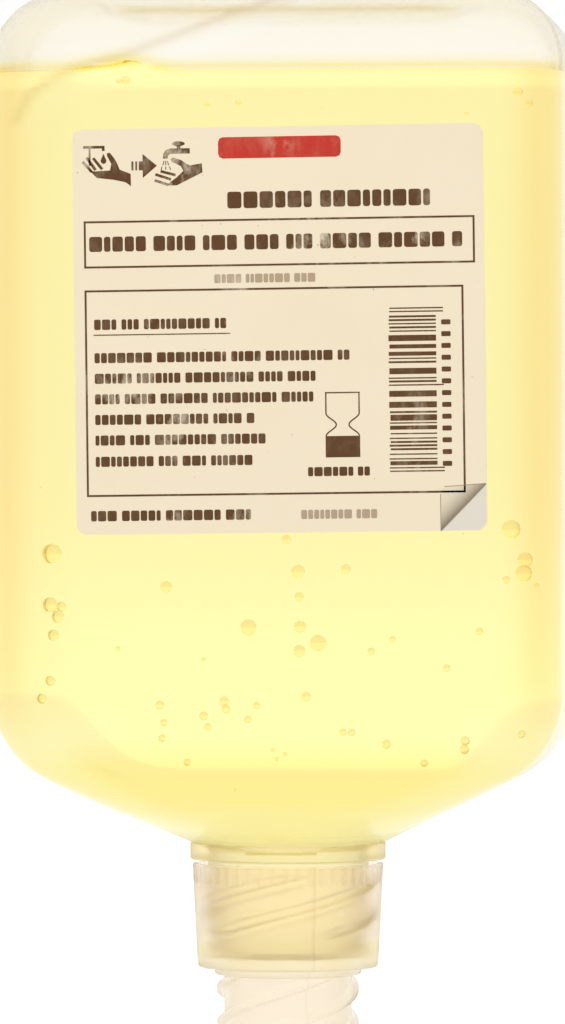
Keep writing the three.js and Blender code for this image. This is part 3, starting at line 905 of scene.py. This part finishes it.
# sizes as shares of the row's height
bars = {
    'low': 0.06, 'high': 0.84, 'widths': (0.3, 0.72), 'least': 0.35, 'corner': 0.11,
    'gap': 0.1, 'space': 0.3, 'firstRun': (3, 8), 'run': (3, 9),
}


def barRow(u0, u1, foot, height, seed):
    # short plain bars in a row, in runs with a wider gap after each
    draw = random.Random(seed)
    low, tall = foot + bars['low'] * height, foot + bars['high'] * height
    outlines = []
    u = u0
    left = draw.randint(*bars['firstRun'])
    while u < u1 - bars['least'] * height:
        end = min(u + height * draw.uniform(*bars['widths']), u1)
        outlines.append(roundBar(u, low, end, tall, bars['corner'] * height))
        u = end + bars['gap'] * height
        left -= 1
        if left == 0:
            u += bars['space'] * height
            left = draw.randint(*bars['run'])
    return outlines


def dropOutline(cu, cv, radius, tip):
    turns = np.linspace(-1.1 * pi, 0.1 * pi, 13)
    return [(cu + radius * math.cos(t), cv + radius * math.sin(t)) for t in turns] + [(cu, tip)]


def ovalOutline(cu, cv, halfWidth, halfHeight, count=20):
    turns = np.linspace(0, 2 * pi, count + 1)[:-1]
    return [(cu + halfWidth * math.cos(t), cv + halfHeight * math.sin(t)) for t in turns]


stripes = {
    'widths': (0.2, 0.2, 0.3, 0.6, 0.9), 'gaps': (0.24, 0.3, 0.5, 0.75), 'ragged': (-0.1, 0.15),
    'guardWidth': 0.2, 'guardGap': 0.3, 'guardLonger': 1.1,
    'guardFirst': 0.7, 'guardLast': 1.1, 'guardMiddle': 0.5,
}


def stripeField(u0, v0, u1, v1, seed):
    # stripes of mixed width, with longer guard stripes at both ends and in the middle
    draw = random.Random(seed)
    outlines = []
    v = v0
    middle = (v0 + v1) / 2
    while v < v1 - 0.1:
        guard = v - v0 < stripes['guardFirst'] or v1 - v < stripes['guardLast']
        guard = guard or abs(v - middle) < stripes['guardMiddle']
        wide = stripes['guardWidth'] if guard else draw.choice(stripes['widths'])
        start = u0 + draw.uniform(*stripes['ragged'])
        end = u1 + (stripes['guardLonger'] if guard else 0)
        outlines.append(boxOutline(start, v, end, min(v + wide, v1)))
        v += wide + (stripes['guardGap'] if guard else draw.choice(stripes['gaps']))
    return outlines


def sandGlass(left, right, low, waist, high):
    # outline of two bowls, the lower one full
    narrowing, slope, line = 1.55, 1.7, 0.2
    middle = (left + right) / 2
    bend = [(t, 0.5 - 0.5 * math.cos(pi * t)) for t in np.linspace(0, 1, 9)]
    side = [(left, high)] + [(left + narrowing * k, waist + slope * (1 - t)) for t, k in bend]
    side += [(left + narrowing * (1 - k), waist - slope * t) for t, k in bend[1:]]
    outlines = []
    for wall in (side, [(2 * middle - u, v) for u, v in side]):
        outlines += stroke(wall, line)
    outlines.append(boxOutline(left - line / 2, high - line, right + line / 2, high))
    outlines.append(boxOutline(left - line / 2, low, right + line / 2, waist - slope))
    return outlines


# outlines of the signs, as (u, v), and boxes as (u0, v0, u1, v1)
handShapes = {
    'soapHand': [(-28.5, 24.4), (-27.8, 24.2), (-25.3, 24.3), (-25.1, 25.3), (-25.75, 26.55), (-25.7, 26.95),
                 (-25.3, 26.95), (-24.6, 26.05), (-24.2, 25.3), (-23.85, 24.4), (-22.2, 23.75),
                 (-22.15, 21.9), (-23.0, 22.5), (-24.8, 22.9), (-27.3, 23.2)],
    'soapFingers': [[(-29.45, 25.7), (-28.1, 24.15)], [(-28.85, 26.3), (-27.5, 24.4)],
                    [(-27.85, 26.2), (-26.5, 24.5)]],
    'arrowHead': [(-20.35, 26.7), (-20.35, 23.1), (-18.2, 24.9)],
    'tap': [(-13.2, 27.45), (-16.2, 27.45), (-16.85, 27.2), (-17.2, 26.7), (-17.25, 25.95), (-16.55, 25.95),
            (-16.5, 26.4), (-16.1, 26.65), (-13.2, 26.65)],
    'rinsedHand': [(-16.1, 25.9), (-15.75, 26.1), (-14.45, 25.65), (-13.8, 25.15), (-13.2, 24.85),
                   (-11.4, 25.15), (-11.3, 23.8), (-15.2, 21.9), (-16.65, 21.9), (-16.2, 22.4),
                   (-15.2, 23.1), (-14.2, 24.05), (-14.55, 24.75), (-15.95, 25.5)],
    'rinsedFingers': [[(-17.65, 24.05), (-15.4, 23.45)], [(-18.45, 23.6), (-16.1, 22.8)],
                      [(-18.55, 22.7), (-16.5, 22.0)]],
    'bracket': [(-29.35, 27.64, -26.1, 28.03), (-26.5, 27.25, -26.1, 27.66), (-28.52, 25.05, -28.24, 27.66)],
    'soapDrop': (-26.28, 25.75, 0.43, 26.85),
    'arrowBars': [(-22.05, 24.25, -21.75, 25.6), (-21.47, 24.25, -21.19, 25.6), (-20.93, 24.25, -20.3, 25.6)],
    'tapKnob': (-14.9, 28.15, 0.97, 0.36), 'tapStem': (-15.15, 27.4, -14.6, 27.9),
    'waterAt': -16.85, 'waterWidth': 0.12, 'soapFingerWidth': 0.42, 'rinsedFingerWidth': 0.4,
}


def handSigns():
    # soap bracket over a cupped hand, an arrow, a tap over a rinsed hand
    shapes = handShapes
    outlines = [boxOutline(*box) for box in shapes['bracket']]
    outlines += [dropOutline(*shapes['soapDrop']), shapes['soapHand']]
    for finger in shapes['soapFingers']:
        outlines += stroke(finger, shapes['soapFingerWidth'])
    outlines += [boxOutline(*box) for box in shapes['arrowBars']]
    outlines += [shapes['arrowHead'], ovalOutline(*shapes['tapKnob']), boxOutline(*shapes['tapStem'])]
    outlines += [shapes['tap'], shapes['rinsedHand']]
    for finger in shapes['rinsedFingers']:
        outlines += stroke(finger, shapes['rinsedFingerWidth'])
    water, width = shapes['waterAt'], shapes['waterWidth']
    for lean in (-0.25, 0.0, 0.25):
        outlines += stroke([(water + lean, 25.6), (water + 1.8 * lean, 24.95)], width)
        outlines += stroke([(water + 2.2 * lean, 24.75), (water + 2.9 * lean, 24.25)], width)
    return outlines


labelPrint = {
    'rows': [   # u0, u1, foot, height, seed
        (-7.6, 25.2, 18.1, 3.2, 11), (-28.6, 27.7, 11.9, 2.9, 23), (-28.0, -8.0, 0.2, 2.0, 31),
        (-28.0, 11.2, -4.8, 1.95, 5), (-28.0, 5.6, -7.9, 1.95, 7), (-28.0, 5.2, -11.0, 1.95, 8),
        (-28.0, -3.5, -14.1, 1.95, 12), (-28.0, -1.8, -17.2, 1.95, 15), (-28.0, -3.8, -20.4, 1.95, 19),
        (4.1, 13.4, -22.2, 1.75, 41), (-28.8, -4.6, -28.6, 2.0, 43)],
    'thinRows': [(-9.7, 5.9, 7.0, 1.7, 3), (3.0, 15.0, -28.6, 1.75, 27)],
    'frames': [(-29.4, 9.6, 29.6, 16.7), (-29.4, -24.8, 27.8, 6.3)], 'lineWidth': 0.3,
    'underline': (-28.1, -0.55, -7.4, -0.38),
    'stripes': (16.5, -21.6, 23.6, 3.2, 4),      # the last is the seed
    'marksFrom': -20.8, 'marksTo': 0.4, 'marks': 13, 'markEnds': (24.4, 25.8),
    'markHeight': 0.75, 'markCorner': 0.15,
    'redBar': (-8.9, 25.8, 9.6, 29.0, 0.7),
    'sandGlass': (6.9, 11.9, -19.3, -14.4, -9.5),
    # printed corner that looks turned up
    'flap': [(24.0, -30.6), (24.0, -25.0), (24.3, -24.2), (25.2, -23.8), (30.9, -23.5)],
    'under': [(24.2, -30.5), (30.8, -23.8), (30.8, -29.4), (29.8, -30.4)],
    'flapLines': [([(24.0, -30.5), (30.8, -23.6)], 0.18), ([(24.0, -30.5), (24.0, -25.0)], 0.1),
                  ([(24.6, -23.9), (30.8, -23.5)], 0.1)],
}


def darkPrint():
    outlines = []
    for box in labelPrint['frames']:
        outlines += frameOutlines(*box, labelPrint['lineWidth'])
    for u0, u1, foot, height, seed in labelPrint['rows']:
        outlines += barRow(u0, u1, foot, height, seed)
    outlines.append(boxOutline(*labelPrint['underline']))
    outlines += stripeField(*labelPrint['stripes'])
    # small marks beside the stripes
    u0, u1 = labelPrint['markEnds']
    for v in np.linspace(labelPrint['marksFrom'], labelPrint['marksTo'], labelPrint['marks']):
        outlines.append(roundBar(u0, v, u1, v + labelPrint['markHeight'], labelPrint['markCorner']))
    return outlines + sandGlass(*labelPrint['sandGlass']) + handSigns()


def makePrint(name, outlines, material, lift):
    # each field starts as a filled circle whose points are moved to its outline
    deselectAll()
    bpy.ops.mesh.primitive_circle_add(vertices=len(outlines[0]), radius=1, fill_type='NGON')
    piece = bpy.context.object
    piece.name = piece.data.name = name
    bpy.ops.object.mode_set(mode='EDIT')
    for outline in outlines[1:]:
        bpy.ops.mesh.primitive_circle_add(vertices=len(outline), radius=1, fill_type='NGON')
    bpy.ops.object.mode_set(mode='OBJECT')
    points = readPoints(piece)
    start = 0
    for outline in outlines:
        ring = points[start:start + len(outline)]
        order = np.argsort(np.round(np.arctan2(ring[:, 1], ring[:, 0]) % (2 * pi), 6))
        area = sum(p[0] * q[1] - q[0] * p[1] for p, q in zip(outline, outline[1:] + outline[:1]))
        ring[order, :2] = outline if area > 0 else outline[::-1]
        start += len(outline)
    points[:, 2] = label['thickness'] + lift
    putPoints(piece, points)
    solid = piece.modifiers.new('ink', 'SOLIDIFY')
    solid.thickness = label['inkThickness']
    solid.offset = 1
    applyAll(piece)
    putPoints(piece, toLabel(readPoints(piece)))
    editAll(piece)
    bpy.ops.mesh.normals_make_consistent(inside=False)
    bpy.ops.object.mode_set(mode='OBJECT')
    setMaterial(piece, material)
    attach(piece, 'filled bottle')


def makeLabelPrint():
    lift = label['inkLift']
    thin = []
    for u0, u1, foot, height, seed in labelPrint['thinRows']:
        thin += barRow(u0, u1, foot, height, seed)
    plainBar = roundBar(*labelPrint['redBar'])
    makePrint('labelDarkPrint', darkPrint(), wornInk('brownInk', label['ink'], label['inkWear']), lift)
    makePrint('labelThinPrint', thin, wornInk('faintInk', label['faintInk'], label['inkWear']), lift)
    makePrint('labelRedField', [plainBar], wornInk('redInk', label['red'], label['redWear']), lift)
    # the flap is shaded, and the grey is under it
    lines = []
    for points, width in labelPrint['flapLines']:
        lines += stroke(points, width)
    makePrint('labelCornerFlap', [labelPrint['flap']], flapShade(), lift)
    under = [labelPrint['under']]
    grey = wornInk('cornerGrey', label['cornerGrey'], label['greyWear'])
    makePrint('labelCornerUnder', under, grey, lift * 0.5)
    dark = wornInk('cornerLine', label['cornerLine'], label['lineWear'])
    makePrint('labelCornerLine', lines, dark, lift * 1.6)
    print('label print')


def flapShade():
    material, tree, bsdf = startMaterial('flapShade')
    coords = addNode(tree, 'ShaderNodeTexCoord')
    split = addNode(tree, 'ShaderNodeSeparateXYZ')
    tree.links.new(coords.outputs['Object'], split.inputs[0])
    along = addNode(tree, 'ShaderNodeMath', operation='SUBTRACT')
    tree.links.new(split.outputs['X'], along.inputs[0])
    tree.links.new(split.outputs['Z'], along.inputs[1])
    # x - z grows from the flap's outer corner towards the printed fold
    near = addNode(tree, 'ShaderNodeMath', operation='POWER')
    near.inputs[1].default_value = label['flapPower']
    tree.links.new(rangeOf(tree, along.outputs[0], label['flapFrom'], label['flapTo'], 0, 1), near.inputs[0])
    shaded = mixColour(tree, near.outputs[0], label['flapPale'], label['flapDark'])
    tree.links.new(shaded, bsdf.inputs['Base Color'])
    bsdf.inputs['Roughness'].default_value = label['inkRoughness']
    return material


# cap and spigot: one moulding, turned, with ribs at the rim and a thread inside and out

cap = {
    'deckBottom': 14.0, 'deckTop': 15.6, 'rimTop': 30.0,
    'deckRadius': 13.88, 'rimRadius': 14.66, 'wall': 0.88, 'edge': 0.6,
    'spigotBore': 8.4, 'spigotRadius': 9.8, 'collarRadius': 11.3, 'collarHeight': 0.8,
    'ribs': 48, 'ribDepth': 0.35, 'ribLow': 26.65, 'ribHigh': 29.75,
    'partingAngle': -67.5, 'partingRidge': 0.07, 'partingHalf': 0.16,
    'mouthRound': 0.3, 'mouthEdge': 0.6, 'collarRound': 0.5, 'collarFoot': 0.3, 'seatRadius': 12.3,
    'rimRound': 0.2, 'insideRound': 0.4, 'boreEnds': 0.8, 'partingWidth': 1.2,
    'ribFadeLow': 0.5, 'ribFadeHigh': 0.2, 'shadeReach': 1.0,
    # spaces that the rounded edges take from the runs of rings between them
    'mouthGap': 0.3, 'collarRise': 0.2, 'skirtGap': 1.0, 'ribGap': 0.3, 'rimGap': 0.45, 'deckGap': 0.5,
    'columns': 288, 'threadStep': 0.22, 'skirtStep': 0.8, 'ribStep': 0.2, 'boreStep': 1.2,
}
spigotThread = dict(neckThread, **{'drop': 0.35, 'height': 1.1, 'from': 2.2, 'to': 13.2})
skirtThread = dict(neckThread, **{'from': 19.2, 'to': 29.0})
skirtShift = 1.335      # how far the cap's ridges lie above the neck's


def capOuter(z):
    share = (z - cap['deckBottom']) / (cap['rimTop'] - cap['deckBottom'])
    return cap['deckRadius'] + (cap['rimRadius'] - cap['deckRadius']) * share


def fromParting(angle):
    # how far round from the nearer of the two parting lines
    return np.abs((angle - math.radians(cap['partingAngle']) + pi / 2) % pi - pi / 2)


def capRings(angle):
    shape = cap
    rings = []
    lineWidth = 2 * pi / shape['columns'] * shape['partingWidth']
    line = np.clip(1 - fromParting(angle) / lineWidth, 0, 1) * shape['partingRidge']

    def ring(radius, z, raised=0.0):
        rings.append(ringAt(radius + np.broadcast_to(raised, angle.shape), angle, z))

    def arc(*values):
        for r, z in filletArc(*values):
            ring(r, z)

    # spigot, mouth first
    mouth, edge = shape['mouthRound'], shape['mouthEdge']
    collar, foot = shape['collarRound'], shape['collarFoot']
    low, collarLow = shape['deckBottom'], shape['deckBottom'] - shape['collarHeight']
    arc(shape['spigotBore'] + mouth, mouth, mouth, 180, 270, 3)
    arc(shape['spigotRadius'] - edge, edge, edge, 270, 360, 5)
    for z in steps(edge + shape['mouthGap'], collarLow - collar, shape['threadStep']):
        rise = spigotThread['height'] * ridgeHeight(angle, z, spigotThread)
        ring(shape['spigotRadius'], z, np.maximum(rise, line))
    arc(shape['collarRadius'] - collar, collarLow + shape['collarRise'], collar, -70, 0, 4)
    arc(shape['collarRadius'] + foot, low - foot, foot, 180, 90, 3)
    ring(shape['seatRadius'], low)
    arc(shape['deckRadius'] - shape['edge'], low + shape['edge'], shape['edge'], -90, -5, 6)
    # skirt and its ribs
    for z in steps(low + shape['skirtGap'], shape['ribLow'] - shape['ribGap'], shape['skirtStep']):
        ring(capOuter(z), z, line)
    groove = 0.5 - 0.5 * np.cos(shape['ribs'] * angle)
    for z in steps(shape['ribLow'], shape['ribHigh'], shape['ribStep']):
        deep = smoothStep(z, shape['ribLow'], shape['ribLow'] + shape['ribFadeLow'])
        deep *= smoothStep(shape['ribHigh'] - z, 0, shape['ribFadeHigh'])
        ring(capOuter(z), z, -shape['ribDepth'] * deep * groove ** 2)
    rim, top = shape['rimRound'], shape['rimTop']
    arc(shape['rimRadius'] - rim, top - rim, rim, 0, 90, 3)
    arc(shape['rimRadius'] - shape['wall'] + rim, top - rim, rim, 90, 180, 3)
    # inside of the skirt with its thread, deck, bore
    deck, inside = shape['deckTop'], shape['insideRound']
    for z in steps(top - shape['rimGap'], deck + shape['deckGap'], shape['threadStep']):
        rise = ridgeHeight(angle, z, skirtThread, skirtShift)
        ring(capOuter(z) - shape['wall'], z, -neckThread['height'] * rise)
    arc(capOuter(deck) - shape['wall'] - inside, deck + inside, inside, 0, -90, 4)
    arc(shape['spigotBore'] + mouth, deck - mouth, mouth, 90, 180, 3)
    for z in steps(deck - shape['boreEnds'], shape['boreEnds'], shape['boreStep']):
        ring(shape['spigotBore'], z)
    rings.append(rings[0])
    return rings


def shadeCap(piece):
    # the zones as attributes, which the plastic reads
    shape = cap
    x, y, height = readPoints(piece).T / mm
    radius = np.hypot(x, y)
    away = fromParting(np.arctan2(y, x)) * radius
    outside = radius > shape['spigotRadius'] - 0.05
    addAttribute(piece, 'partingShade', np.where(outside, np.exp(-(away / shape['partingHalf']) ** 2), 0))
    low, deck = shape['deckBottom'], shape['deckTop']
    addAttribute(piece, 'skirtShade', smoothStep(height, low - shape['shadeReach'], deck))
    onDeck = smoothStep(height, low - shape['shadeReach'] / 2, low) * fallStep(height, *capLook['deckEnd'])
    addAttribute(piece, 'deckShade', onDeck)
    # painted shade on the thread flanks inside the skirt and in the rib grooves outside it
    onSkirt = height > deck + shape['shadeReach']
    outer = radius > capOuter(height) - shape['wall'] / 2
    rise = np.clip((capOuter(height) - shape['wall'] - radius) / neckThread['height'], 0, 1)
    flank = np.where(onSkirt & ~outer, 4 * rise * (1 - rise), 0)
    ribbed = np.where(onSkirt & outer, np.clip((capOuter(height) - radius) / shape['ribDepth'], 0, 1), 0)
    ribbed = ribbed * fallStep(height, shape['ribHigh'] - shape['ribFadeHigh'], shape['ribHigh'])
    addAttribute(piece, 'edgeShade', np.maximum(flank, capLook['ribShare'] * ribbed))


def makeCap():
    piece = rollGrid('screwCap', capRings(np.arange(cap['columns']) * 2 * pi / cap['columns']), 35)
    shadeCap(piece)
    setMaterial(piece, capPlastic())
    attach(piece, 'screw cap')
    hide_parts('cap')
    print('cap', len(piece.data.vertices), 'points')


capLook = {
    'spigotColour': (0.952, 0.9, 0.82), 'skirtColour': (0.998, 0.945, 0.865),
    'deckColour': (0.985, 0.93, 0.77), 'deckEnd': (17.0, 19.0),
    # edgeTint is the painted shade of the thread flanks and rib grooves
    'edgeTint': (0.9, 0.875, 0.855), 'ribShare': 0.6,
    'partingColour': (0.88, 0.8, 0.68),
    'roughness': 0.62, 'ior': 1.14,
    'absorb': (1.0, 0.85, 0.3), 'density': 12.0,
    'cloudScale': 120, 'cloudRoughness': (-0.05, 0.08),
    'scuffScale': 500, 'scuffStretch': (1, 1, 0.2), 'scuffBump': (0.08, 0.0001),
}


def capPlastic():
    look = capLook
    material, tree, bsdf = startMaterial('capPlastic')
    bsdf.inputs['IOR'].default_value = look['ior']
    cloud = noiseAt(tree, objectSpot(tree), look['cloudScale'], 1)
    scuff = noiseAt(tree, objectSpot(tree, look['scuffStretch']), look['scuffScale'], 2)
    tinted = mixColour(tree, attributeOf(tree, 'skirtShade'), look['spigotColour'], look['skirtColour'])
    tinted = mixColour(tree, attributeOf(tree, 'deckShade'), tinted, look['deckColour'])
    tinted = mixColour(tree, attributeOf(tree, 'partingShade'), tinted, look['partingColour'])
    # painted shade on the thread flanks and rib grooves
    tinted = mixColour(tree, attributeOf(tree, 'edgeShade'), tinted, look['edgeTint'], 'MULTIPLY')
    tree.links.new(tinted, bsdf.inputs['Base Color'])
    bsdf.inputs['Transmission Weight'].default_value = 1.0
    smoother, rougher = look['cloudRoughness']
    satin = rangeOf(tree, cloud, *noiseSpread, look['roughness'] + smoother, look['roughness'] + rougher)
    tree.links.new(satin, bsdf.inputs['Roughness'])
    bumpFrom(tree, bsdf, scuff, *look['scuffBump'])
    addAbsorption(tree, look['absorb'], look['density'])
    return material


# sealing disc: soft film with a rolled edge and a shallow middle

disc = {
    'bottom': 15.7, 'top': 16.7, 'radius': 12.6, 'edge': 0.3, 'columns': 96,
    'dish': 0.25, 'dishRadius': 7.6, 'dishSlope': 0.6,
    'colour': (0.99, 0.96, 0.9), 'cloudColour': (0.97, 0.92, 0.82), 'roughness': 0.35, 'ior': 1.05,
    'cloudScale': 180, 'cloudSpread': (0.35, 0.7), 'cloudMost': 0.5,
    'grainScale': 700, 'grainBump': (0.2, 0.00006),
}


def makeDisc():
    angle = np.arange(disc['columns']) * 2 * pi / disc['columns']
    low, high, edge, dish = disc['bottom'], disc['top'], disc['edge'], disc['dishRadius']
    middle = low + disc['dish']
    profile = [(0.0, middle), (dish - disc['dishSlope'], middle), (dish, low)]
    profile += filletArc(disc['radius'] - edge, low + edge, edge, -90, 0, 4)
    profile += filletArc(disc['radius'] - edge, high - edge, edge, 0, 90, 4)
    profile += [(dish, high), (0.0, high)]
    piece = rollGrid('sealingDisc', [ringAt(r, angle, z) for r, z in profile], 35)
    material, tree, bsdf = startMaterial('discFilm')
    spot = objectSpot(tree)
    grain = noiseAt(tree, spot, disc['grainScale'], 3)
    cloud = noiseAt(tree, spot, disc['cloudScale'])
    cloud = rangeOf(tree, cloud, *disc['cloudSpread'], 0, disc['cloudMost'])
    tree.links.new(mixColour(tree, cloud, disc['colour'], disc['cloudColour']), bsdf.inputs['Base Color'])
    bsdf.inputs['Roughness'].default_value = disc['roughness']
    bsdf.inputs['Transmission Weight'].default_value = 1.0
    bsdf.inputs['IOR'].default_value = disc['ior']
    bumpFrom(tree, bsdf, grain, *disc['grainBump'])
    setMaterial(piece, material)
    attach(piece, 'seal')
    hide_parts('sealing_disc')
    print('disc')


makeStage()
makeBottle()
makeSoap()
makeBubbles()
makeLabel()
makeLabelPrint()
makeCap()
makeDisc()
